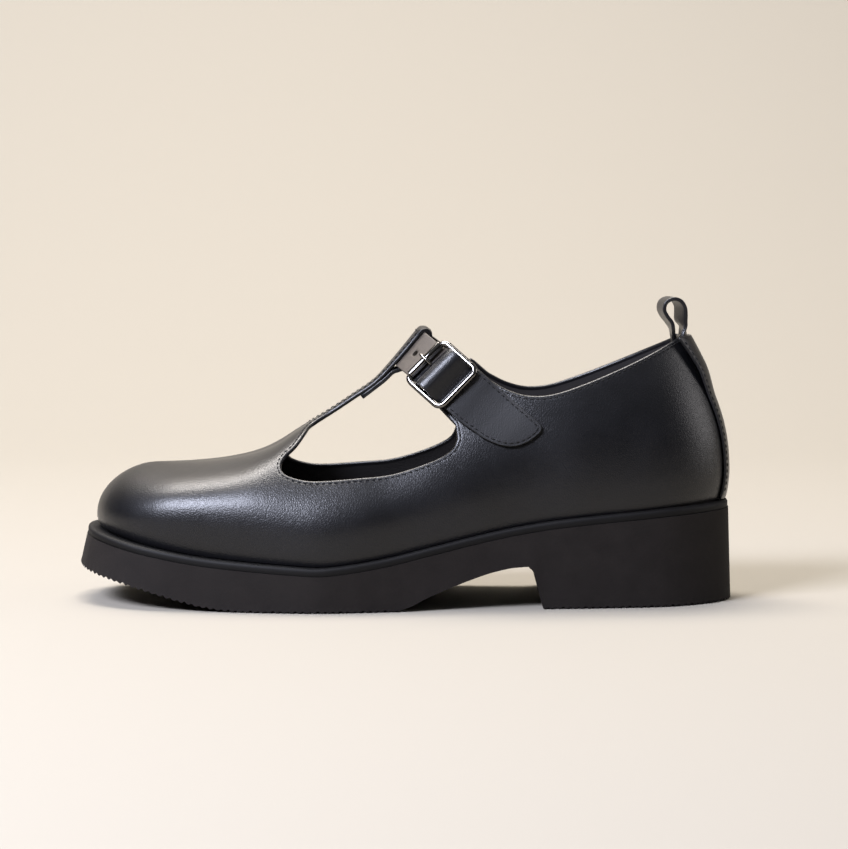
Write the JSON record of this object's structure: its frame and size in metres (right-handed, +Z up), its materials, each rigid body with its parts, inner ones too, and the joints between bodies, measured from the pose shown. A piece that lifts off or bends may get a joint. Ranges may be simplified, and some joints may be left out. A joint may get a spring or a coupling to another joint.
{
  "type": "t-strap shoe",
  "caption": "Left T-strap shoe in smooth leather: domed toe, side cut-outs, T-bar looped over a buckled ankle strap, heel pull loop and a thick one-piece sole with a block heel",
  "frame": {"origin": "middle of the bounding box in plan, on the floor that heel and forefoot stand on", "axes": "+X from the toe to the heel, +Y from the outer side to the inner side of the left foot, +Z up"},
  "size_m": [0.268, 0.0974, 0.1236],
  "materials": {
    "foam_rubber": "matte moulded foam rubber",
    "rand": "satin",
    "sock": "matte lining leather",
    "calf": "smooth satin calf",
    "nickel": "polished"
  },
  "bodies": {
    "root": {"outsole": "foam_rubber", "welt": "rand", "insole": "sock", "upper": "calf", "back_strip": "calf", "pull_loop": "calf", "ankle_strap": "calf", "buckle_tab": "calf", "buckle_frame": "nickel", "buckle_roller": "nickel", "buckle_prong": "nickel"}
  },
  "joints": []
}
